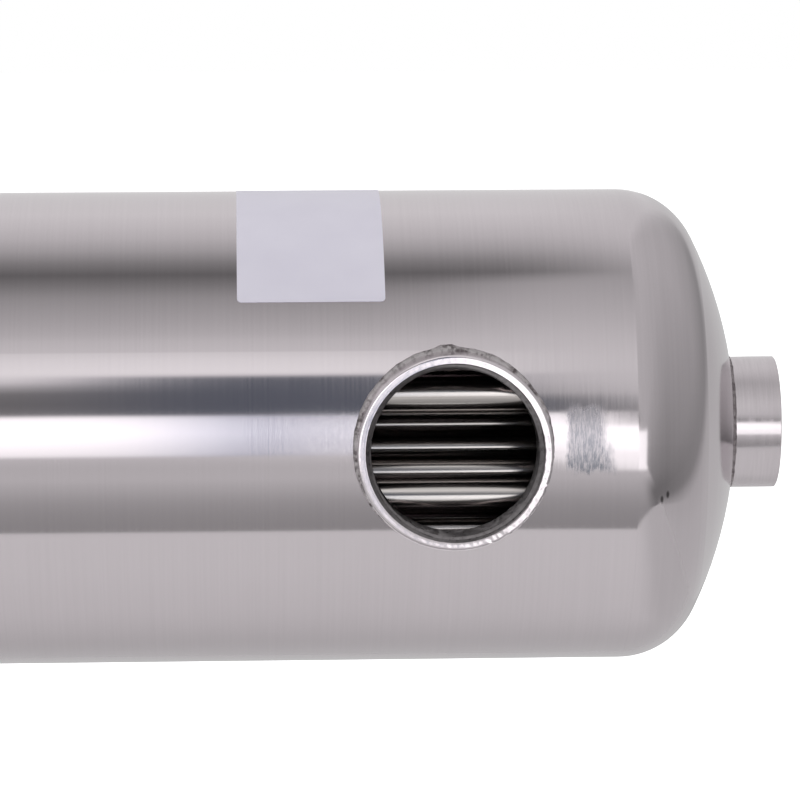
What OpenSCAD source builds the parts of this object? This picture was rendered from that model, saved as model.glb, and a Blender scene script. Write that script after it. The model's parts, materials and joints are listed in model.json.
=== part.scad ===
// Shell-and-tube pool heat exchanger: a stainless barrel with two domed ends, a straight tube
// bundle between two tube sheets, two pool water ports on the side and a heating port on each end.
// Units are millimetres. +X runs along the barrel, the pool ports face -Y and +Z is up.
// The origin is the centre of the left heating port's mouth.

/* [Shell] */
// Outside diameter of the barrel and of both domed ends
shell_d = 134; // [120:1:160]
// Sheet thickness of the barrel and of both domed ends
shell_wall = 1.5; // [1:0.1:2.5]
// Length from one heating port's mouth to the other
overall_len = 485; // [420:1:700]

/* [Domed ends] */
// Outside radius of the shallow crown
crown_r = 120; // [100:1:160]
// Outside radius of the knuckle that joins the crown to the barrel
knuckle_r = 23; // [15:0.5:32]

/* [Heating ports] */
// Bore of a heating socket, the crest diameter of a 1 inch pipe thread
heating_bore_d = 30.3; // [24:0.1:36]
// Wall of a heating socket outside its thread's crests
heating_wall = 3.6; // [2.5:0.1:6]
// Reach of a heating socket's mouth beyond the top of the dome
heating_reach = 12; // [8:0.5:30]
// Depth of the heating socket's mouth chamfer
heating_chamfer = 1.8; // [0.5:0.1:2]

/* [Pool ports] */
// Bore of a pool socket, the crest diameter of a 1 1/2 inch pipe thread
pool_bore_d = 44.9; // [36:0.1:56]
// Wall of a pool socket outside its thread's crests
pool_wall = 3.8; // [2.5:0.1:6]
// Reach of a pool socket's mouth beyond the front of the barrel
pool_reach = 10; // [6:0.5:30]
// Distance from a pool socket's axis to the heating port's mouth beside it
pool_inset = 95.5; // [85:0.5:140]
// Depth of the pool socket's mouth chamfer
pool_chamfer = 2; // [0.5:0.1:2]

/* [Welds] */
// Leg of the weld bead round a pool socket
pool_weld_leg = 2; // [1:0.1:3]
// Leg of the weld bead round a heating socket
heating_weld_leg = 1.2; // [0.8:0.1:3]

/* [Tube bundle] */
// Outside diameter of a tube
tube_d = 12; // [8:0.5:13]
// Wall of a tube
tube_wall = 0.7; // [0.4:0.1:1.2]
// Tubes in the longest row, which runs through the axis
row_tubes = 7; // [5:2:7]
// Slope of the tube rows, which rise away from the pool ports
row_slope = 18.5; // [-30:0.5:30]
// Gap between the outermost tubes and the barrel
bundle_gap = 11.5; // [4:0.5:12]
// Angle round the axis from the longest row's front end up to the tube that stands apart
apart_angle = 34.5; // [30:0.5:60]
// Thickness of a tube sheet
sheet_t = 4; // [2:0.5:8]
// Length of tube that stands out of a tube sheet
tube_standout = 1; // [0.5:0.1:3]

/* [Fits] */
// Clearance all round a piece that is pushed into a hole
fit_gap = 0.1; // [0.05:0.05:0.3]

/* [Hidden] */
$fn = 96;
sides = ["left", "right"];
shell_r = shell_d / 2;
shell_in_r = shell_r - shell_wall;
heating_r = heating_bore_d / 2 + heating_wall;
pool_r = pool_bore_d / 2 + pool_wall;
tube_r = tube_d / 2;
// The crown's centre lies on the axis, below the plane where the dome meets the barrel
knuckle_at = shell_r - knuckle_r;
crown_drop = sqrt(pow(crown_r - knuckle_r, 2) - pow(knuckle_at, 2));
dome_depth = crown_r - crown_drop;
dome_join_angle = asin(knuckle_at / (crown_r - knuckle_r));
barrel_len = overall_len - 2 * (dome_depth + heating_reach);
mid_x = overall_len / 2;
pool_mouth = shell_r + pool_reach;
// The triangular pattern is half a hexagon: each row below the longest one has a tube less.
// The longest row's last tube stands apart, above the front end of its row
bundle_r = shell_in_r - bundle_gap - tube_r;
tube_pitch = 2 * bundle_r / (row_tubes - 1);
row_gap = tube_pitch * sin(60);
row_count = (row_tubes + 1) / 2;
tube_len = barrel_len + 2 * tube_standout;
far = 2 * shell_d;
weld_steps = 96;
steel = [0.66, 0.61, 0.635];
weld_steel = [0.6, 0.56, 0.57];
tube_steel = [0.64, 0.6, 0.58];

// A tube's place, [towards the back, up], before the rows are sloped
function tube_place(row, k, last) =
    row == 0 && k == last
        ? bundle_r * [-cos(apart_angle), sin(apart_angle)]
        : [tube_pitch * (k - last / 2), -row * row_gap];

// Each tube as its node's name and its place
tubes = [
    for (row = [0 : row_count - 1])
        let (last = row_tubes - 1 - row)
        for (k = [0 : last])
            [str("tube_", row + 1, "_", k + 1), tube_place(row, k, last)]
];

// Turns +Z to lie along the barrel
module along_barrel() {
    rotate([0, 90, 0]) children();
}

// Puts z = 0 on the plane where the dome meets the barrel, with +Z pointing out of that end
module at_end(side) {
    translate([mid_x, 0, 0])
        mirror([side == "left" ? 1 : 0, 0, 0])
            translate([barrel_len / 2, 0, 0]) along_barrel() children();
}

// Puts z = 0 on the barrel's axis, with +Z pointing out of that pool port
module at_pool_port(side) {
    translate([side == "left" ? pool_inset : overall_len - pool_inset, 0, 0])
        rotate([90, 0, 0]) children();
}

module ring_2d(outer_r, inner_r) {
    difference() {
        circle(outer_r);
        circle(inner_r);
    }
}

// Half section of the dome's sheet: the knuckle's arc runs into the crown's arc
module dome_section() {
    join_dir = [sin(dome_join_angle), cos(dome_join_angle)];
    knuckle = [knuckle_at, 0];
    intersection() {
        translate([0, -crown_drop]) ring_2d(crown_r, crown_r - shell_wall);
        polygon([[0, 0], knuckle, knuckle + far * join_dir, [0, far]]);
    }
    intersection() {
        translate(knuckle) ring_2d(knuckle_r, knuckle_r - shell_wall);
        polygon([knuckle, knuckle + [far, 0], knuckle + far * join_dir]);
    }
}

// Half section of a threaded socket's body, bored to the thread's crests and chamfered at the mouth
module socket_section(outer_r, bore_r, bottom, mouth, chamfer) {
    polygon([
        [bore_r, bottom],
        [outer_r, bottom],
        [outer_r, mouth],
        [bore_r + chamfer, mouth],
        [bore_r, mouth - chamfer]
    ]);
}

// Distance from the barrel's axis plane to the barrel's surface, at a point beside a pool port
function saddle_height(radius, turn) = sqrt(pow(shell_r, 2) - pow(radius * sin(turn), 2));

module shell_barrel() {
    color(steel) difference() {
        translate([mid_x - barrel_len / 2, 0, 0])
            along_barrel() cylinder(h = barrel_len, r = shell_r);
        translate([mid_x - far, 0, 0])
            along_barrel() cylinder(h = 2 * far, r = shell_in_r);
        for (side = sides)
            at_pool_port(side) cylinder(h = far, r = pool_r + fit_gap);
    }
}

module end_cap(side) {
    color(steel) at_end(side) rotate_extrude() difference() {
        dome_section();
        square([heating_r + fit_gap, far]);
    }
}

// Puts +Z along a tube's axis, at its place in the sloped rows
module at_tube(place) {
    rotate([row_slope, 0, 0]) translate([0, place.x, place.y]) along_barrel() children();
}

module tube_sheet(side) {
    outer_face = side == "left" ? mid_x - barrel_len / 2 : mid_x + barrel_len / 2 - sheet_t;
    color(tube_steel) translate([outer_face, 0, 0]) difference() {
        along_barrel() cylinder(h = sheet_t, r = shell_in_r - fit_gap);
        for (tube = tubes)
            at_tube(tube[1]) translate([0, 0, -sheet_t])
                cylinder(h = 3 * sheet_t, r = tube_r + fit_gap);
    }
}

module heating_port(side) {
    inner_drop = crown_r - shell_wall - sqrt(pow(crown_r - shell_wall, 2) - pow(heating_r, 2));
    color(steel) at_end(side) rotate_extrude()
        socket_section(
            heating_r,
            heating_bore_d / 2,
            dome_depth - shell_wall - inner_drop,
            dome_depth + heating_reach,
            heating_chamfer
        );
}

// A fillet in the corner between the heating socket and the dome
module heating_port_weld(side) {
    inner = heating_r + fit_gap;
    outer = heating_r + heating_weld_leg;
    function crown_at(radius) = sqrt(pow(crown_r, 2) - pow(radius, 2)) - crown_drop + fit_gap;
    color(weld_steel) at_end(side) rotate_extrude() polygon([
        [inner, crown_at(inner)],
        [outer, crown_at(outer)],
        [(inner + outer) / 2 + heating_weld_leg / 8, crown_at(inner) + heating_weld_leg * 0.6],
        [inner, crown_at(inner) + heating_weld_leg]
    ]);
}

module pool_port(side) {
    color(steel) at_pool_port(side) difference() {
        rotate_extrude() socket_section(pool_r, pool_bore_d / 2, 0, pool_mouth, pool_chamfer);
        translate([-far, 0, 0]) along_barrel() cylinder(h = 2 * far, r = shell_in_r);
    }
}

// A rounded fillet that follows the saddle line where the pool socket meets the barrel
module pool_port_weld(side) {
    inner = pool_r + fit_gap;
    leg = pool_weld_leg;
    // Each section point is a radius share and a height share of the bead's leg
    section = [[0, 0], [1, 0], [0.9, 0.45], [0.6, 0.8], [0.25, 0.98], [0, 1]];
    count = len(section);
    function bead_point(share, turn) = let (
        radius = inner + share.x * leg,
        height = saddle_height(radius, turn) + fit_gap + share.y * leg
    ) [radius * cos(turn), radius * sin(turn), height];
    points = [
        for (step = [0 : weld_steps - 1], share = section)
            bead_point(share, step * 360 / weld_steps)
    ];
    function at(step, k) = (step % weld_steps) * count + k % count;
    faces = [
        for (step = [0 : weld_steps - 1], k = [0 : count - 1], half = [0, 1])
            half == 0
                ? [at(step, k), at(step + 1, k + 1), at(step + 1, k)]
                : [at(step, k), at(step, k + 1), at(step + 1, k + 1)]
    ];
    color(weld_steel) at_pool_port(side) polyhedron(points, faces);
}

// One straight tube, which stands a little out of both tube sheets
module straight_tube(place) {
    color(tube_steel) translate([mid_x - tube_len / 2, 0, 0]) at_tube(place) difference() {
        cylinder(h = tube_len, r = tube_r);
        translate([0, 0, -tube_len / 2]) cylinder(h = 2 * tube_len, r = tube_r - tube_wall);
    }
}

shell_barrel();
for (side = sides) {
    end_cap(side);
    tube_sheet(side);
    heating_port(side);
    heating_port_weld(side);
    pool_port(side);
    pool_port_weld(side);
}
for (tube = tubes)
    straight_tube(tube[1]);
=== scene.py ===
import json
import math

import bmesh
import bpy
import numpy as np
from mathutils import Matrix, Vector


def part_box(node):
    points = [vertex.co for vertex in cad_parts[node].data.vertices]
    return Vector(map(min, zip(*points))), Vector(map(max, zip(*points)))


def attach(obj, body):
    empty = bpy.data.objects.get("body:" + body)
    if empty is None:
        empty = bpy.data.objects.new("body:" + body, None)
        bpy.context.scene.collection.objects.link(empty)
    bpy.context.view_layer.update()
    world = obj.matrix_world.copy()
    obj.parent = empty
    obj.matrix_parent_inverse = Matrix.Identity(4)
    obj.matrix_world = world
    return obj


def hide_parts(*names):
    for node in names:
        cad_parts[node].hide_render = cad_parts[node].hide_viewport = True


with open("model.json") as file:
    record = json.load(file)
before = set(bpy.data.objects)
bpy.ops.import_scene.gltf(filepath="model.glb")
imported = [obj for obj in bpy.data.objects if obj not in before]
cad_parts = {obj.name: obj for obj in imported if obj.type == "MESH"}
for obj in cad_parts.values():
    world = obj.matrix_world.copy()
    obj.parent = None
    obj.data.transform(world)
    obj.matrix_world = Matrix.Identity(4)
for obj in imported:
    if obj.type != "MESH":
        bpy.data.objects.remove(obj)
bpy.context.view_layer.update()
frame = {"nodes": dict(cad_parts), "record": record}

# Sizes in metres, taken from the frame where it has them
MM = 0.001
MICRON = 0.001 * MM
TAU = 2 * math.pi
SIDES = ("left", "right")
MOUNTS = {mount["name"]: mount for mount in frame["record"]["mounts"]}
BARREL_LOW, BARREL_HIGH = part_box("shell_barrel")
SHELL_R = BARREL_HIGH.z
SHELL_WALL = 1.5 * MM
CROWN_R = 120 * MM
MID_X = (BARREL_LOW.x + BARREL_HIGH.x) / 2
POOL_PORT_X = MOUNTS["right_pool_mouth"]["pos_m"][0]

# Camera at the photograph's viewing angle, measured from the pool port that it looks at
CAMERA_DISTANCE = 1.1
CAMERA_ELEVATION = math.radians(5.84)
CAMERA_ASIDE = -0.0562
CAMERA_PAN = math.radians(2.33)
CAMERA_TILT = math.radians(-5.47)
CAMERA_ROLL = math.radians(-0.26)
CAMERA_LENS = 173.2
SENSOR_WIDTH = 36.0


def make_camera():
    data = bpy.data.cameras.new("camera")
    data.lens = CAMERA_LENS
    data.sensor_width = SENSOR_WIDTH
    camera = bpy.data.objects.new("camera", data)
    bpy.context.scene.collection.objects.link(camera)
    forward = Vector((
        math.sin(CAMERA_PAN) * math.cos(CAMERA_TILT),
        math.cos(CAMERA_PAN) * math.cos(CAMERA_TILT),
        math.sin(CAMERA_TILT),
    ))
    level = Vector((math.cos(CAMERA_PAN), -math.sin(CAMERA_PAN), 0))
    right = Matrix.Rotation(-CAMERA_ROLL, 3, forward) @ level
    up = right.cross(forward)
    camera.matrix_world = Matrix.Translation((
        POOL_PORT_X + CAMERA_ASIDE,
        -CAMERA_DISTANCE * math.cos(CAMERA_ELEVATION),
        CAMERA_DISTANCE * math.sin(CAMERA_ELEVATION),
    )) @ Matrix((right, up, -forward)).transposed().to_4x4()
    bpy.context.scene.camera = camera


# The range in which nearly all of a noise's values lie
NOISE_RANGE = (0.3, 0.7)


def grey(level):
    return (level, level, level)


def tint(level, colour):
    return tuple(level * part for part in colour)


class Shader:
    """A node tree, whose nodes are made and joined by short calls."""

    def __init__(self, tree):
        self.tree = tree
        self.tree.nodes.clear()

    def add(self, kind, inputs=None, **settings):
        node = self.tree.nodes.new("ShaderNode" + kind)
        for name, value in settings.items():
            setattr(node, name, value)
        for name, value in (inputs or {}).items():
            self.feed(node.inputs[name], value)
        return node

    def feed(self, socket, value):
        """Joins another node's output to a socket, or gives the socket a fixed value."""
        if isinstance(value, bpy.types.NodeSocket):
            self.tree.links.new(value, socket)
        elif socket.type == "RGBA":
            socket.default_value = (*value, 1)
        else:
            socket.default_value = value

    def math(self, operation, a, b=0.0, c=0.0):
        return self.add("Math", {0: a, 1: b, 2: c}, operation=operation).outputs[0]

    def product(self, first, *others):
        for other in others:
            first = self.math("MULTIPLY", first, other)
        return first

    def distance(self, a, b):
        return self.add("VectorMath", {0: a, 1: b}, operation="DISTANCE").outputs["Value"]

    def remap(self, value, low, high, to_low=0.0, to_high=1.0, smooth=False):
        """Takes the range from low to high to another range, and holds its ends beyond it."""
        kind = "SMOOTHSTEP" if smooth else "LINEAR"
        inputs = {"Value": value, "From Min": low, "From Max": high, "To Min": to_low, "To Max": to_high}
        return self.add("MapRange", inputs, interpolation_type=kind).outputs["Result"]

    def fade(self, value, span, to_low=0.0, to_high=1.0):
        """Goes softly from one level to another over a span of values."""
        return self.remap(value, *span, to_low, to_high, smooth=True)

    def vary(self, noise, low, high):
        """A number that goes from low to high with a noise."""
        return self.remap(noise, *NOISE_RANGE, low, high)

    def blend(self, noise, low, high):
        """A colour that goes from low to high with a noise."""
        return self.mix(self.remap(noise, *NOISE_RANGE), low, high)

    def mix(self, factor, a, b):
        """A colour that goes from a to b as the factor goes from 0 to 1."""
        node = self.add("Mix", data_type="RGBA")
        sockets = {socket.identifier: socket for socket in node.inputs}
        for name, value in (("Factor_Float", factor), ("A_Color", a), ("B_Color", b)):
            self.feed(sockets[name], value)
        return next(socket for socket in node.outputs if socket.identifier == "Result_Color")

    def grey_ramp(self, value, stops, brightest=1.0):
        """Grey from stops of (value, light level), with the levels as shares of the brightest."""
        low, high = stops[0][0], stops[-1][0]
        node = self.add("ValToRGB", {"Fac": self.remap(value, low, high)})
        elements = node.color_ramp.elements
        while len(elements) < len(stops):
            elements.new(0.5)
        for element, (stop, level) in zip(elements, stops):
            element.position = (stop - low) / (high - low)
            element.color = (*grey(level / brightest), 1)
        return node.outputs["Color"]

    def own_place(self, scale=(1, 1, 1)):
        """The surface point's place in the part's own frame, stretched by scale."""
        place = self.add("TexCoord").outputs["Object"]
        return self.add("Mapping", {"Vector": place, "Scale": scale}).outputs["Vector"]

    def world_place(self):
        return self.add("NewGeometry").outputs["Position"]

    def split(self, point):
        """A point's X, Y and Z."""
        return self.add("SeparateXYZ", {0: point}).outputs

    def noise(self, waves, detail=2.0, roughness=0.5):
        """Noise from 0 to 1, with its own number of waves a metre along each axis."""
        inputs = {"Vector": self.own_place(waves), "Scale": 1.0, "Detail": detail, "Roughness": roughness}
        return self.add("TexNoise", inputs).outputs["Fac"]

    def bump(self, height, distance, normal=None):
        """A normal for a height of 0 to 1, as high as the distance, over another normal."""
        inputs = {"Height": height, "Distance": distance, "Strength": 1.0}
        if normal is not None:
            inputs["Normal"] = normal
        return self.add("Bump", inputs).outputs["Normal"]


def new_shader(name):
    material = bpy.data.materials.new(name)
    material.use_nodes = True
    return material, Shader(material.node_tree)


QUARTER_TURN = 0.25


def finish_metal(shader, colour, roughness, normal, anisotropic=0.0, axis=None):
    """Closes a metal's tree. With an axis, its marks run round that axis and blur along it."""
    inputs = {"Base Color": colour, "Metallic": 1.0, "Roughness": roughness, "Normal": normal}
    if axis:
        inputs["Anisotropic"] = anisotropic
        inputs["Anisotropic Rotation"] = QUARTER_TURN
        inputs["Tangent"] = shader.add("Tangent", direction_type="RADIAL", axis=axis).outputs[0]
    surface = shader.add("BsdfPrincipled", inputs).outputs["BSDF"]
    shader.add("OutputMaterial", {"Surface": surface})


def from_middle(shader, x):
    """Distance along the barrel from its middle."""
    return shader.math("ABSOLUTE", shader.math("SUBTRACT", x, MID_X))


STEEL = (0.66, 0.61, 0.635)
# Areas of the shell's finish. A span goes from where an area starts to where it is full, and places
# along the barrel count outwards from the nearer pool port's axis
FRONT_Y = (-50 * MM, -60 * MM)
PORT_REACH = (70 * MM, 30 * MM)
# The rubbed area, from a pool port towards the barrel's middle
RUBBED_START = (-64 * MM, -34 * MM)
RUBBED_END = (1 * MM, 0.0)
RUBBED_HEIGHT = (16 * MM, 9 * MM)
RUBBED_ROUGHNESS = 0.02
# The scratched patch between a pool port and the dome beside it. Its dark bluish colour is partly scratched
# metal and partly painted reflection, and it is weaker towards its top
PATCH_START = (30 * MM, 32.2 * MM)
PATCH_END = (43.5 * MM, 39.2 * MM)
PATCH_HEIGHT = (9.8 * MM, 7.6 * MM)
PATCH_Z = 2.4 * MM
PATCH_SLANT = 0.2
PATCH_RAGGED = 1.3 * MM
PATCH_SCRATCH_AND_REFLECTION_COLOUR = (0.28, 0.285, 0.325)
PATCH_ROUGHNESS = 0.18
PATCH_TOP_FADE_Z = (-3 * MM, 8 * MM)
PATCH_TOP_FADE_LEVELS = (1.0, 0.6)
SCRATCH_RANGE = (0.4, 0.6)
SCRATCH_LEVELS = (0.2, 1.0)
# Two small scuffs low on the front of the right dome, as (x, z). A scuff starts at its full half size
# and is full at a share of it
SCUFFS = ((446 * MM, -14.4 * MM), (447.6 * MM, -13.1 * MM))
SCUFF_HALF_W = 0.55 * MM
SCUFF_HALF_H = 1.3 * MM
SCUFF_EDGE = (1.0, 0.45)
SCUFF_COLOUR = (0.17, 0.155, 0.16)


def rubbed_area(shader, aside, z):
    return shader.product(
        shader.fade(aside, RUBBED_START),
        shader.remap(aside, *RUBBED_END),
        shader.fade(shader.math("ABSOLUTE", z), RUBBED_HEIGHT),
    )


def scratched_patch(shader, aside, z):
    """The patch's share, with ragged edges and a slanted outer end."""
    chips = shader.noise((260, 150, 150), detail=3.0, roughness=0.6)
    ragged = shader.vary(chips, -PATCH_RAGGED, PATCH_RAGGED)
    across = shader.math("ADD", aside, ragged)
    off_height = shader.math("ABSOLUTE", shader.math("SUBTRACT", z, PATCH_Z))
    return shader.product(
        shader.fade(across, PATCH_START),
        shader.fade(shader.math("MULTIPLY_ADD", z, PATCH_SLANT, across), PATCH_END),
        shader.fade(shader.math("ADD", off_height, ragged), PATCH_HEIGHT),
    )


def scuff_marks(shader):
    seen_flat = shader.own_place((1 / SCUFF_HALF_W, 0, 1 / SCUFF_HALF_H))
    return shader.math("MAXIMUM", *(
        shader.remap(shader.distance(seen_flat, (x / SCUFF_HALF_W, 0, z / SCUFF_HALF_H)), *SCUFF_EDGE)
        for x, z in SCUFFS
    ))


def shell_material():
    """Polished sheet with fine marks round the barrel, rubbed and scratched beside each pool port. The
    scratched patch's dark bluish colour is partly painted reflection.
    """
    material, shader = new_shader("polished_shell")
    x, y, z = shader.split(shader.own_place())
    aside = shader.math("SUBTRACT", from_middle(shader, x), POOL_PORT_X - MID_X)
    from_port = shader.math("SQRT", shader.math("MULTIPLY_ADD", aside, aside, shader.product(z, z)))
    in_front = shader.remap(y, *FRONT_Y)
    near_port = shader.product(shader.fade(from_port, PORT_REACH), in_front)
    rubbed = shader.product(rubbed_area(shader, aside, z), in_front)
    patch = shader.product(scratched_patch(shader, aside, z), in_front)
    scuffs = shader.product(scuff_marks(shader), in_front)

    waves = shader.noise((11, 16, 16), detail=1.0)
    streaks = shader.noise((1800, 14, 14), detail=3.0)
    fringe = shader.noise((520, 45, 45), detail=2.0)
    brushed = shader.noise((2600, 380, 380), detail=3.0, roughness=0.75)
    top_fade = shader.remap(z, *PATCH_TOP_FADE_Z, *PATCH_TOP_FADE_LEVELS)
    scratches_and_reflection = shader.product(patch, top_fade, shader.remap(brushed, *SCRATCH_RANGE, *SCRATCH_LEVELS))
    colour = shader.blend(streaks, tint(0.985, STEEL), tint(1.015, STEEL))
    # Partly painted reflection: the patch's dark bluish colour stands for its scratches and for the dark
    # reflection over it
    colour = shader.mix(scratches_and_reflection, colour, PATCH_SCRATCH_AND_REFLECTION_COLOUR)
    colour = shader.mix(scuffs, colour, SCUFF_COLOUR)
    roughness = shader.vary(streaks, 0.09, 0.11)
    roughness = shader.math("MULTIPLY_ADD", rubbed, RUBBED_ROUGHNESS, roughness)
    roughness = shader.math("MULTIPLY_ADD", patch, PATCH_ROUGHNESS, roughness)
    normal = shader.bump(waves, 90 * MICRON)
    normal = shader.bump(fringe, 1.2 * MICRON, normal)
    normal = shader.bump(shader.product(fringe, near_port), 6 * MICRON, normal)
    normal = shader.bump(shader.product(brushed, shader.math("MAXIMUM", rubbed, patch)), 10 * MICRON, normal)
    finish_metal(shader, colour, roughness, normal, anisotropic=0.55, axis="X")
    return material


def socket_material(name, waves, painted_light_tone):
    """Turned steel, brightened by a tone that is painted light. Its turning marks are fine along the
    socket's axis and long across it.
    """
    material, shader = new_shader(name)
    marks = shader.noise(waves, detail=3.0)
    grain = shader.noise((1500, 1500, 1500), detail=2.0)
    colour = shader.blend(marks, tint(0.96 * painted_light_tone, STEEL), tint(1.04 * painted_light_tone, STEEL))
    roughness = shader.vary(marks, 0.12, 0.17)
    normal = shader.bump(grain, 0.6 * MICRON, shader.bump(marks, 1.2 * MICRON))
    finish_metal(shader, colour, roughness, normal)
    return material


def shaded_bore_material():
    """Cut thread, dull, and darker than the turned faces: its colour is painted shade for the inside of the
    bore.
    """
    material, shader = new_shader("shaded_cut_thread")
    marks = shader.noise((700, 700, 700), detail=3.0)
    # Painted shade: the thread's dark colour stands for the shade deep in the bore
    colour = shader.blend(marks, (0.2, 0.185, 0.19), (0.32, 0.3, 0.305))
    roughness = shader.vary(marks, 0.26, 0.38)
    finish_metal(shader, colour, roughness, shader.bump(marks, 10 * MICRON))
    return material


WELD_PATCH_RANGE = (0.47, 0.64)


def weld_material(name, bright, dark):
    """Unpolished bead, with grains and with darker patches from the heat."""
    material, shader = new_shader(name)
    grains = shader.noise((1100, 1100, 1100), detail=4.0, roughness=0.7)
    patches = shader.noise((420, 420, 420), detail=3.0, roughness=0.65)
    colour = shader.mix(shader.remap(patches, *WELD_PATCH_RANGE), bright, dark)
    roughness = shader.vary(grains, 0.28, 0.5)
    finish_metal(shader, colour, roughness, shader.bump(grains, 300 * MICRON))
    return material


def tube_material():
    """Bright drawn tube, with faint draw lines along its length."""
    material, shader = new_shader("drawn_tube")
    lines = shader.noise((6, 1400, 1400), detail=2.0)
    colour = shader.blend(lines, (0.6, 0.56, 0.54), (0.68, 0.64, 0.62))
    roughness = shader.vary(lines, 0.12, 0.2)
    finish_metal(shader, colour, roughness, shader.bump(lines, 4 * MICRON))
    return material


def sheet_material():
    """Plain drilled plate with a cloudy mill finish."""
    material, shader = new_shader("mill_plate")
    clouds = shader.noise((90, 90, 90), detail=4.0)
    grain = shader.noise((1500, 200, 1500), detail=2.0)
    colour = shader.blend(clouds, (0.5, 0.48, 0.48), (0.6, 0.58, 0.58))
    roughness = shader.vary(clouds, 0.32, 0.45)
    finish_metal(shader, colour, roughness, shader.bump(grain, 10 * MICRON))
    return material


def sticker_material():
    """White film with a soft gloss and a faint waviness."""
    material, shader = new_shader("blank_film")
    clouds = shader.noise((60, 60, 60), detail=2.0)
    inputs = {
        "Base Color": shader.blend(clouds, (0.765, 0.735, 0.845), (0.805, 0.775, 0.88)),
        "Roughness": shader.vary(clouds, 0.36, 0.46),
        "Normal": shader.bump(clouds, 80 * MICRON),
    }
    surface = shader.add("BsdfPrincipled", inputs).outputs["BSDF"]
    shader.add("OutputMaterial", {"Surface": surface})
    return material


SHARP_ANGLE = math.radians(38)


def new_piece(name, points, faces, material, inside=None, inside_faces=0):
    """A smooth piece. Where it has an inside material, its first inside_faces faces take that."""
    mesh = bpy.data.meshes.new(name)
    mesh.from_pydata([tuple(point) for point in points], [], [tuple(face) for face in faces])
    mesh.materials.append(material)
    if inside:
        mesh.materials.append(inside)
        mesh.polygons.foreach_set("material_index", [int(k < inside_faces) for k in range(len(faces))])
    shape = bmesh.new()
    shape.from_mesh(mesh)
    bmesh.ops.recalc_face_normals(shape, faces=shape.faces)
    shape.to_mesh(mesh)
    shape.free()
    mesh.polygons.foreach_set("use_smooth", [True] * len(mesh.polygons))
    mesh.set_sharp_from_angle(angle=SHARP_ANGLE)
    piece = bpy.data.objects.new(name, mesh)
    bpy.context.scene.collection.objects.link(piece)
    return piece


def add_piece(piece, slot, *nodes):
    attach(piece, "root")
    if nodes:
        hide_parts(*nodes)


def ring_faces(rings, steps):
    """Quads of a closed loop of rings, each with that many points."""
    return [
        (
            ring * steps + step,
            ring * steps + (step + 1) % steps,
            (ring + 1) % rings * steps + (step + 1) % steps,
            (ring + 1) % rings * steps + step,
        )
        for ring in range(rings)
        for step in range(steps)
    ]


def round_points(radius, height, turn):
    """Points round a local +Z axis, from arrays of radius, height and turn."""
    return np.stack([radius * np.cos(turn), radius * np.sin(turn), height], axis=-1)


def turned_from(turn, middle):
    """Angle from middle to turn, up to half a turn either way."""
    return (turn - middle + math.pi) % TAU - math.pi


def placed(points, to_frame):
    flat = points.reshape(-1, 3)
    rotation = np.array(to_frame.to_3x3())
    return flat @ rotation.T + np.array(to_frame.translation)


def pool_frame(side):
    """Local +Z points out of the pool port, from the barrel's axis."""
    x = MOUNTS[side + "_pool_mouth"]["pos_m"][0]
    return Matrix.Translation((x, 0, 0)) @ Matrix(((1, 0, 0), (0, 0, -1), (0, 1, 0))).to_4x4()


def heating_frame(side):
    """Local +Z points out of the heating port, from its mouth's plane."""
    out = -1 if side == "left" else 1
    x = MOUNTS[side + "_heating_mouth"]["pos_m"][0]
    return Matrix.Translation((x, 0, 0)) @ Matrix(((0, 0, out), (out, 0, 0), (0, 1, 0))).to_4x4()


# The next three functions give a surface that sockets end on or beads lie on. A surface is itself a
# function, which gives a height from radius and turn
def saddle(shell_r):
    """A barrel's surface round a pool port, above the barrel's axis plane."""
    return lambda radius, turn: np.sqrt(shell_r ** 2 - (radius * np.sin(turn)) ** 2)


def crown(rim_r, rim_height):
    """A dome's surface round a heating port, from its height at the port's foot."""
    rim_rise = math.sqrt(CROWN_R ** 2 - rim_r ** 2)
    return lambda radius, turn: rim_height + np.sqrt(CROWN_R ** 2 - radius ** 2) - rim_rise


def plane(height):
    return lambda radius, turn: height + 0 * turn


# Sockets: a pipe thread, a rim with a broken edge, and the mesh, with rings as shares of the way across
# the rim and down the wall
THREAD_PITCH = 2.309 * MM
THREAD_DEPTH = 1.48 * MM
THREAD_POINTS = 12
SOCKET_CHAMFER = 1.6 * MM
EDGE_BREAK = 0.25 * MM
SOCKET_STEPS = 288
RIM_RINGS = (0.08, 0.35, 0.65, 0.92)
WALL_RINGS = np.linspace(0.15, 1, 8)
# A rim is roughest at one turn, where the saw left it. That fades over a spread in radians to a share
SAWN_TURN = math.radians(315)
SAWN_SPREAD = 0.9
SAWN_LEAST = 0.12
SAWN_SEED = 7
POOL_SAWN_DEPTH = 0.12 * MM
HEATING_SAWN_DEPTH = 0.06 * MM


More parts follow.
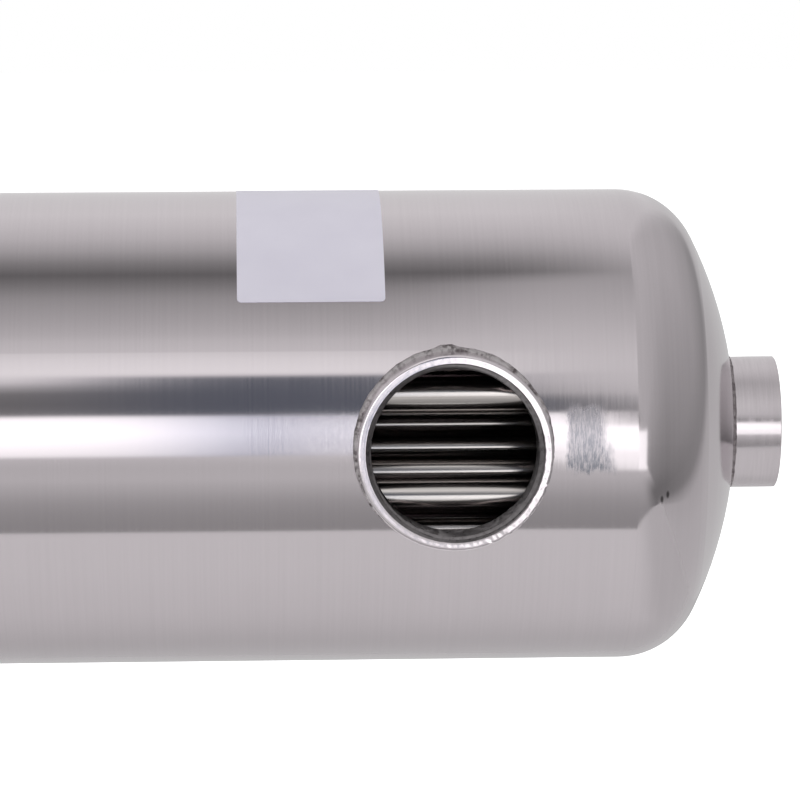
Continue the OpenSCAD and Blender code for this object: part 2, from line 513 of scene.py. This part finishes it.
def threaded_socket(name, outer_r, bore_r, mouth, inner_end, to_frame, materials, sawn_depth):
    """A socket with a real pipe thread, from the surface inner_end to the mouth's height."""
    draws = np.random.default_rng(SAWN_SEED)
    turn = np.arange(SOCKET_STEPS) * TAU / SOCKET_STEPS
    bottom = inner_end(bore_r, turn)
    count = math.ceil((mouth - bottom.min()) / THREAD_PITCH * THREAD_POINTS)
    height = bottom + (mouth - bottom) * np.linspace(0, 1, count)[:, None]
    wave = np.abs(2 * ((height / THREAD_PITCH - turn / TAU) % 1) - 1)
    thread = THREAD_DEPTH * wave * wave * (3 - 2 * wave)
    flare = np.clip(height - (mouth - SOCKET_CHAMFER), 0, None)
    rings = list(round_points(bore_r + np.maximum(thread, flare), height, turn))

    def add_ring(ring_radius, ring_height):
        rings.append(round_points(ring_radius + 0 * turn, ring_height + 0 * turn, turn))

    rim_in = bore_r + SOCKET_CHAMFER
    rim_out = outer_r - EDGE_BREAK
    sawn = SAWN_LEAST + (1 - SAWN_LEAST) * np.exp(-(turned_from(turn, SAWN_TURN) / SAWN_SPREAD) ** 2)
    for part in RIM_RINGS:
        add_ring(rim_in + (rim_out - rim_in) * part, mouth - sawn_depth * sawn * draws.random(SOCKET_STEPS))
    add_ring(
        outer_r - EDGE_BREAK * sawn * draws.random(SOCKET_STEPS) / 2,
        mouth - EDGE_BREAK * (1 + sawn * (draws.random(SOCKET_STEPS) - 0.5)),
    )
    foot = inner_end(outer_r, turn)
    for part in WALL_RINGS:
        add_ring(outer_r, (mouth - EDGE_BREAK) * (1 - part) + foot * part)
    points = placed(np.array(rings), to_frame)
    body, bore = materials
    return new_piece(
        name, points, ring_faces(len(rings), SOCKET_STEPS), body, bore, (count - 1) * SOCKET_STEPS,
    )


# Weld beads: their mesh, how deep they sit in the corner, and their uneven form as shares of a leg
WELD_STEPS = 960
WELD_SECTION = 11
WELD_SEAT = 0.05 * MM
WELD_SWELL_WAVES = (3, 5, 9, 17, 31)
WELD_SWELL = 0.06
WELD_RIPPLE = 0.1
WELD_GRAIN = 0.025
WELD_BULGE = 0.08
# How far a ripple's ends lag behind its middle, as a share of a ripple
WELD_LAG = 0.55
# A lump is its turn and its width in degrees, and its height as a share of the leg
POOL_WELD = {
    "leg": 0.9 * MM,
    "ripples": 64,
    "seed": 11,
    "lumps": ((92, 4, 0.8), (97, 2.5, 0.6), (60, 16, 0.3), (118, 18, 0.25), (270, 50, 0.3), (20, 9, 0.2)),
}
HEATING_WELD = {"leg": 0.7 * MM, "ripples": 52, "seed": 5, "lumps": ()}


def weld_bead(name, inner_r, surface, to_frame, material, leg, ripples, seed, lumps):
    """A rippled bead in the corner between a socket and the surface that it stands on."""
    draws = np.random.default_rng(seed)
    turn = np.arange(WELD_STEPS) * TAU / WELD_STEPS
    swell = np.ones(WELD_STEPS)
    for waves in WELD_SWELL_WAVES:
        swell += WELD_SWELL * draws.normal() * np.sin(waves * turn + TAU * draws.random())
    for middle, width, height in lumps:
        swell += height * np.exp(-(turned_from(turn, math.radians(middle)) / math.radians(width)) ** 2)
    seat_r = inner_r - WELD_SEAT
    rings = []
    for part in np.linspace(0, 1, WELD_SECTION):
        across = math.sin(part * math.pi)
        lag = TAU * WELD_LAG * (2 * part - 1) ** 2
        ripple = 1 + WELD_RIPPLE * across * np.sin(ripples * turn + lag)
        ripple += WELD_GRAIN * across * draws.normal(size=WELD_STEPS)
        bulge = leg * swell * ripple * (1 + WELD_BULGE * across)
        corner = part * math.pi / 2
        radius = seat_r + bulge * math.sin(corner)
        rise = bulge * math.cos(corner)
        rings.append(round_points(radius, surface(radius, turn) - WELD_SEAT + rise, turn))
    root = seat_r + 0 * turn
    rings.append(round_points(root, surface(root, turn) - WELD_SEAT, turn))
    points = placed(np.array(rings), to_frame)
    return new_piece(name, points, ring_faces(len(rings), WELD_STEPS), material)


def build_pool_ports(metals, weld_metal):
    for side in SIDES:
        node = side + "_pool_port"
        low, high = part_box(node)
        outer_r = (high.x - low.x) / 2
        bore_r = MOUNTS[side + "_pool_thread"]["dims"]["r_mm"] * MM
        to_frame = pool_frame(side)
        socket = threaded_socket(
            side + "_pool_socket", outer_r, bore_r, -low.y, saddle(SHELL_R - SHELL_WALL), to_frame, metals,
            POOL_SAWN_DEPTH,
        )
        add_piece(socket, "sockets", node)
        bead = weld_bead(
            side + "_pool_bead", outer_r, saddle(SHELL_R), to_frame, weld_metal, **POOL_WELD,
        )
        add_piece(bead, "welds", node + "_weld")


def build_heating_ports(metals, weld_metal):
    for side in SIDES:
        node = side + "_heating_port"
        low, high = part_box(node)
        cap_low, cap_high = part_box(side + "_end_cap")
        outer_r = (high.z - low.z) / 2
        bore_r = MOUNTS[side + "_heating_thread"]["dims"]["r_mm"] * MM
        foot = low.x - cap_low.x if side == "left" else cap_high.x - high.x
        to_frame = heating_frame(side)
        socket = threaded_socket(
            side + "_heating_socket", outer_r, bore_r, 0.0, plane(low.x - high.x), to_frame, metals,
            HEATING_SAWN_DEPTH,
        )
        add_piece(socket, "sockets", node)
        bead = weld_bead(
            side + "_heating_bead", outer_r, crown(outer_r, foot), to_frame, weld_metal, **HEATING_WELD,
        )
        add_piece(bead, "welds", node + "_weld")


# Blank sticker: its middle along the barrel, its size, its foot's place round the barrel, the gap under
# it and its mesh
STICKER_X = 0.3517
STICKER_W = 40.2 * MM
STICKER_L = 84 * MM
STICKER_T = 0.12 * MM
STICKER_CORNER = 1.2 * MM
STICKER_FOOT = math.radians(35.7)
STICKER_GAP = 0.01 * MM
STICKER_ROWS = 90
STICKER_CORNER_ROWS = 8
STICKER_COLUMNS = 33


def build_sticker(material):
    """A thin blank film laid round the barrel, with rounded corners."""
    ends = STICKER_CORNER * (1 - np.cos(np.linspace(0, math.pi / 2, STICKER_CORNER_ROWS)))
    between = np.linspace(STICKER_CORNER, STICKER_L - STICKER_CORNER, STICKER_ROWS)[1:-1]
    along = np.concatenate([ends, between, STICKER_L - ends[::-1]])
    near_end = np.clip(STICKER_CORNER - np.minimum(along, STICKER_L - along), 0, None)
    half = STICKER_W / 2 - STICKER_CORNER + np.sqrt(STICKER_CORNER ** 2 - near_end ** 2)
    x = STICKER_X + half[:, None] * np.linspace(-1, 1, STICKER_COLUMNS)
    angle = (STICKER_FOOT + along / SHELL_R)[:, None] + 0 * x
    layers = [
        np.stack([x, -radius * np.cos(angle), radius * np.sin(angle)], axis=-1).reshape(-1, 3)
        for radius in (SHELL_R + STICKER_GAP, SHELL_R + STICKER_T)
    ]
    grid = np.arange(x.size).reshape(x.shape)
    quads = np.stack([grid[:-1, :-1], grid[:-1, 1:], grid[1:, 1:], grid[1:, :-1]], axis=-1).reshape(-1, 4)
    border = np.concatenate([grid[0], grid[1:, -1], grid[-1, -2::-1], grid[-2:0:-1, 0]])
    onward = np.roll(border, -1)
    edge = np.stack([border, onward, x.size + onward, x.size + border], axis=-1)
    faces = np.concatenate([quads, x.size + quads, edge]).tolist()
    add_piece(new_piece("blank_sticker", np.concatenate(layers), faces, material), None)


def stage_piece(name, material, one_edge, other_edge):
    """A sheet of the studio between two edges, which have as many points as each other."""
    count = len(one_edge)
    faces = [(k, k + 1, count + k + 1, count + k) for k in range(count - 1)]
    mesh = bpy.data.meshes.new(name)
    mesh.from_pydata([*one_edge, *other_edge], [], faces)
    mesh.materials.append(material)
    mesh.polygons.foreach_set("use_smooth", [True] * len(mesh.polygons))
    piece = bpy.data.objects.new(name, mesh)
    bpy.context.scene.collection.objects.link(piece)
    return piece


def level_edges(ends, edges, z):
    """The two edges of a level sheet, each from one end's X to the other's at an edge's Y."""
    return [[(x, y, z) for x in ends] for y in edges]


def stage_card(name, material, one_edge, other_edge, lights_floor=False):
    """A card that only shows in the metal. It can light the floor and the sticker too."""
    card = stage_piece(name, material, one_edge, other_edge)
    card.visible_camera = False
    card.visible_shadow = False
    card.visible_diffuse = lights_floor


def glow(shader, colour, strength=1.0):
    surface = shader.add("Emission", {"Color": colour, "Strength": strength})
    shader.add("OutputMaterial", {"Surface": surface.outputs[0]})


def background_share(shader):
    """1 on rays that show the background: from the camera, or seen in metal or through glass."""
    path = shader.add("LightPath")
    seen = shader.math("MAXIMUM", path.outputs["Is Camera Ray"], path.outputs["Is Glossy Ray"])
    return shader.math("MAXIMUM", seen, path.outputs["Is Transmission Ray"])


# Light from the white background, on other rays and on those that show it
WORLD_LIGHT = (0.5, 1.0)


def build_world():
    world = bpy.data.worlds.new("studio")
    bpy.context.scene.world = world
    world.use_nodes = True
    shader = Shader(world.node_tree)
    strength = shader.remap(background_share(shader), 0.0, 1.0, *WORLD_LIGHT)
    surface = shader.add("Background", {"Color": grey(1.0), "Strength": strength})
    shader.add("OutputWorld", {"Surface": surface.outputs[0]})


# Floor. Away from the object it goes to white. Near it, it glows a little before the object, and less
# beyond its ends and behind it
FLOOR_Z = -0.32
FLOOR_REACH = 40.0
FLOOR_PAINT = grey(0.82)
FLOOR_WHITE = (0.65, 1.05)
FLOOR_ENDS = (0.22, 0.38)
FLOOR_BEHIND = (-0.05, 0.18)
FLOOR_GLOW = (0.185, 0.04)


def build_floor():
    """A pale floor, whose paint takes the object's shadow."""
    material, shader = new_shader("pale_floor")
    place = shader.world_place()
    x, y, _ = shader.split(place)
    dimmer = shader.math(
        "MAXIMUM", shader.fade(from_middle(shader, x), FLOOR_ENDS), shader.fade(y, FLOOR_BEHIND),
    )
    near_level = shader.remap(dimmer, 0.0, 1.0, *FLOOR_GLOW)
    away = shader.distance(place, (MID_X, 0, FLOOR_Z))
    level = shader.fade(away, FLOOR_WHITE, near_level, 1.0)
    paint = shader.add("BsdfDiffuse", {"Color": FLOOR_PAINT})
    lift = shader.add("Emission", {"Strength": shader.product(background_share(shader), level)})
    surface = shader.add("AddShader", {0: paint.outputs[0], 1: lift.outputs[0]})
    shader.add("OutputMaterial", {"Surface": surface.outputs[0]})
    span = (-FLOOR_REACH, FLOOR_REACH)
    stage_piece("floor", material, *level_edges(span, span, FLOOR_Z))


# Light tent round the barrel's axis, as elevation from the front in degrees and light level: over the
# inner part of the barrel, and beyond the pool port that the camera looks at
TENT_R = 2.2
TENT_X = (2 * MID_X - 0.8, 0.8)
TENT_STEPS = 180
TENT_STRIP = ((-10, 0.8), (-7, 1.4), (-2, 1.7), (3, 1.95), (8, 1.8), (10.5, 1.6))
TENT_BRIGHTEST = max(level for _, level in TENT_STRIP)
TENT_INNER = TENT_STRIP + (
    (12, 0.24), (17, 0.2), (22, 0.24), (25, 0.5), (28, 0.95), (32, 1.08), (38, 0.98), (44, 0.76),
    (50, 0.62), (56, 0.54), (62, 0.476), (69, 0.4), (76, 0.27), (83, 0.16), (91, 0.3), (99, 0.5),
    (108, 0.66), (118, 0.76), (130, 0.83), (150, 0.78), (172, 0.72),
)
TENT_BEYOND = TENT_STRIP + (
    (12.5, 0.26), (16, 0.2), (18, 0.36), (20.5, 0.6), (26, 0.78), (38, 0.78), (44, 0.76), (50, 0.72),
    (56, 0.67), (62, 0.62), (69, 0.58), (76, 0.53), (83, 0.5), (91, 0.565), (99, 0.65), (108, 0.72),
    (118, 0.74), (150, 0.74), (172, 0.72),
)
# Where along the tent the levels change over, and at which elevations that comes later and by how much
BEYOND_X = (0.44, 0.6)
BEYOND_LATER = (((76, 84), 0.1), ((21, 17), 0.08))
# The bright strip's upper edge, how soft such edges are, and where along the tent the strip drops and
# by how much
STRIP_TOP = 11
SOFT_EDGE = 1.146
STRIP_DROP = 7
STRIP_DROP_X = (0.63, 0.665)
# The dark band over the strip
SHADE_TOP = 30
SHADE_X = (0.14, 0.3)
SHADE_COLOUR = (0.06, 0.068, 0.085)
# Where along the tent the strip turns dim and cool, and where it turns bright again, which comes sooner
# low down
DIM_LEVEL = 0.2
DIM_START = (0.22, 0.41)
DIM_END = (0.445, 0.485)
DIM_SOONER = 0.03
DIM_SOONER_ELEVATION = (-3, -6)
DIM_TINT = (0.78, 0.92, 1.25)


def build_tent():
    """A curved card with bands of light and dark, in front of the object and over it."""
    material, shader = new_shader("light_tent")
    x, y, z = shader.split(shader.world_place())
    elevation = shader.math("DEGREES", shader.math("ARCTAN2", z, shader.math("MULTIPLY", y, -1.0)))
    elevation = shader.math("ADD", elevation, shader.remap(x, *STRIP_DROP_X, 0.0, STRIP_DROP))
    later = shader.math("MAXIMUM", *(
        shader.remap(elevation, *span, 0.0, distance) for span, distance in BEYOND_LATER
    ))
    beyond = shader.fade(shader.math("SUBTRACT", x, later), BEYOND_X)
    colour = shader.mix(beyond, *(
        shader.grey_ramp(elevation, levels, TENT_BRIGHTEST) for levels in (TENT_INNER, TENT_BEYOND)
    ))
    over_strip = (STRIP_TOP, STRIP_TOP + SOFT_EDGE)
    in_shade = shader.product(
        shader.remap(elevation, *over_strip),
        shader.fade(elevation, (SHADE_TOP + SOFT_EDGE, SHADE_TOP - SOFT_EDGE)),
        shader.fade(x, SHADE_X),
        shader.math("SUBTRACT", 1.0, beyond),
    )
    colour = shader.mix(in_shade, colour, SHADE_COLOUR)
    sooner = shader.remap(elevation, *DIM_SOONER_ELEVATION, 0.0, DIM_SOONER)
    strip_level = shader.math(
        "MAXIMUM",
        shader.fade(x, DIM_START, 1.0, DIM_LEVEL),
        shader.fade(shader.math("ADD", x, sooner), DIM_END, DIM_LEVEL, 1.0),
    )
    level = shader.math("MAXIMUM", strip_level, shader.fade(elevation, over_strip))
    light = shader.mix(level, DIM_TINT, grey(1.0))
    lit = shader.add("VectorMath", {0: colour, 1: light}, operation="MULTIPLY").outputs["Vector"]
    glow(shader, lit, shader.product(level, TENT_BRIGHTEST))
    angles = np.radians(np.linspace(TENT_INNER[0][0], TENT_INNER[-1][0], TENT_STEPS + 1))
    left, right = (
        [(end, -TENT_R * math.cos(angle), TENT_R * math.sin(angle)) for angle in angles] for end in TENT_X
    )
    stage_card("light_tent", material, right, left, lights_floor=True)


# Cards on the floor, as y and light level from their near edge to their far edge
CARD_Z = FLOOR_Z + 0.004
FRONT_CARD = (
    (-0.34, 0.34), (-0.46, 0.385), (-0.56, 0.44), (-0.7, 0.54), (-0.91, 0.64), (-1.3, 0.62), (-2.2, 0.7),
)
BACK_CARD = ((0.35, 0.6), (0.7, 0.57), (1.1, 0.5), (3.0, 0.5))
# The front card's near edge, as distance from the object's middle and how far it steps back there
FRONT_CARD_EDGE = ((0.257, 0.0), (0.322, 0.08), (TENT_X[1] - MID_X, 0.125))
# The front card is darker at its near corners, beyond the object's ends, and bright at its far right
# corner
CORNER_LEVEL = 0.2
CORNER_ASIDE = (0.36, 0.5)
CORNER_Y = (-0.9, -0.6)
GLEAM_LEVEL = 1.5
FRONT_GLEAM_X = (0.535, 0.553)
FRONT_GLEAM_Y = (-1.02, -1.12)


def build_front_card():
    """A grey card on the floor before the object, whose near edge shows as a line in the metal."""
    material, shader = new_shader("front_card")
    x, y, _ = shader.split(shader.world_place())
    colour = shader.grey_ramp(y, FRONT_CARD)
    corner = shader.product(shader.remap(from_middle(shader, x), *CORNER_ASIDE), shader.remap(y, *CORNER_Y))
    colour = shader.mix(corner, colour, grey(CORNER_LEVEL))
    gleam = shader.product(shader.remap(x, *FRONT_GLEAM_X), shader.remap(y, *FRONT_GLEAM_Y))
    glow(shader, shader.mix(gleam, colour, grey(GLEAM_LEVEL)))
    near, far = FRONT_CARD[0][0], FRONT_CARD[-1][0]
    right_half = [(reach, near - back) for reach, back in FRONT_CARD_EDGE]
    outline = [(-reach, edge) for reach, edge in reversed(right_half)] + right_half
    near_edge = [(MID_X + reach, edge, CARD_Z) for reach, edge in outline]
    far_edge = [(MID_X + reach, far, CARD_Z) for reach, _ in outline]
    stage_card("front_card", material, near_edge, far_edge)


def build_back_card():
    """A grey card on the floor behind the object, which keeps its lower edge from going white."""
    material, shader = new_shader("back_card")
    _, y, _ = shader.split(shader.world_place())
    glow(shader, shader.grey_ramp(y, BACK_CARD))
    near, far = BACK_CARD[0][0], BACK_CARD[-1][0]
    stage_card("back_card", material, *level_edges(TENT_X, (near, far), CARD_Z))


# Side cards, as light level over the height above a line that rises to the back: before and beside the
# object. A dark edge runs along that line. Behind the object their level is over the plain height
SIDE_CARD = (
    (-0.5, 0.62), (-0.25, 0.61), (-0.11, 0.55), (-0.085, 0.42), (-0.06, 0.21), (0.0, 0.21), (0.09, 0.28),
    (0.25, 0.36), (0.45, 0.45), (0.8, 0.56), (1.5, 0.6),
)
SIDE_CARD_BESIDE = (
    (-0.5, 0.61), (-0.2, 0.58), (-0.11, 0.53), (-0.08, 0.42), (-0.05, 0.32), (0.0, 0.34), (0.1, 0.44),
    (0.3, 0.54), (0.6, 0.58), (1.5, 0.62),
)
SIDE_CARD_BEHIND = ((0.2, 0.6), (0.6, 0.74))
SIDE_CARD_Y = (-2.2, 2.5)
SIDE_CARD_TOP = 2.4
EDGE_RISE = 0.5
BESIDE_Y = (-0.4, 0.04)
BEHIND_Y = (0.35, 0.95)
SIDE_GLEAM_Y = (-1.15, -1.3)
SIDE_GLEAM_Z = (0.1, 0.02)


def build_side_cards():
    """Grey cards beyond each end, which shade the domes. The tent's strip runs on to their front."""
    material, shader = new_shader("side_card")
    _, y, z = shader.split(shader.world_place())
    over_edge = shader.math("SUBTRACT", z, shader.math("MULTIPLY", y, EDGE_RISE))
    before, beside = (shader.grey_ramp(over_edge, levels) for levels in (SIDE_CARD, SIDE_CARD_BESIDE))
    colour = shader.mix(shader.remap(y, *BESIDE_Y), before, beside)
    colour = shader.mix(shader.fade(y, BEHIND_Y), colour, shader.grey_ramp(z, SIDE_CARD_BEHIND))
    gleam = shader.product(shader.fade(y, SIDE_GLEAM_Y), shader.fade(z, SIDE_GLEAM_Z))
    glow(shader, shader.mix(gleam, colour, grey(GLEAM_LEVEL)))
    for side, end in zip(SIDES, TENT_X):
        foot = [(end, edge, FLOOR_Z) for edge in SIDE_CARD_Y]
        top = [(end, edge, SIDE_CARD_TOP) for edge in SIDE_CARD_Y]
        stage_card(side + "_card", material, foot, top)


# Soft lamps that don't show in the metal, as place, size and power
LAMPS = {
    "top_lamp": ((MID_X, -0.3, 1.7), 1.6, 6.0),
    "front_lamp": ((MID_X - 0.5, -1.6, 0.9), 1.0, 3.6),
}


def build_lamp(name, place, size, power):
    """A square lamp that points at the object's middle."""
    data = bpy.data.lights.new(name, "AREA")
    data.size = size
    data.energy = power
    lamp = bpy.data.objects.new(name, data)
    lamp.location = place
    lamp.rotation_mode = "QUATERNION"
    lamp.rotation_quaternion = (Vector((MID_X, 0, 0)) - Vector(place)).to_track_quat("-Z", "Y")
    lamp.visible_glossy = False
    lamp.visible_camera = False
    bpy.context.scene.collection.objects.link(lamp)


def build_studio():
    build_world()
    build_floor()
    build_tent()
    build_front_card()
    build_back_card()
    build_side_cards()
    for name, (place, size, power) in LAMPS.items():
        build_lamp(name, place, size, power)


def dress(slot, material):
    """Gives a material to every frame node of one of the record's material slots."""
    for part in frame["record"]["subparts"]:
        if part["material_slot"] == slot:
            materials = frame["nodes"][part["node"]].data.materials
            materials.clear()
            materials.append(material)


def main():
    make_camera()
    dress("shell", shell_material())
    dress("tube_sheets", sheet_material())
    dress("tubes", tube_material())
    # The thread's material carries painted shade for the inside of the bores
    bore = shaded_bore_material()
    # Painted highlight: the pool sockets' steel is painted brighter than the heating sockets' to stand for
    # their brightly lit rims
    brightened_pool_metal = socket_material("turned_pool_socket_painted_bright", (70, 1600, 70), painted_light_tone=1.2)
    heating_metal = socket_material("turned_heating_socket", (1600, 70, 70), painted_light_tone=1.03)
    pool_weld = weld_material("pool_bead", bright=(0.62, 0.58, 0.59), dark=(0.17, 0.145, 0.15))
    heating_weld = weld_material("heating_bead", bright=(0.4, 0.36, 0.37), dark=(0.2, 0.17, 0.18))
    build_pool_ports((brightened_pool_metal, bore), pool_weld)
    build_heating_ports((heating_metal, bore), heating_weld)
    build_sticker(sticker_material())
    build_studio()
    bpy.context.scene.view_settings.view_transform = "Standard"


main()
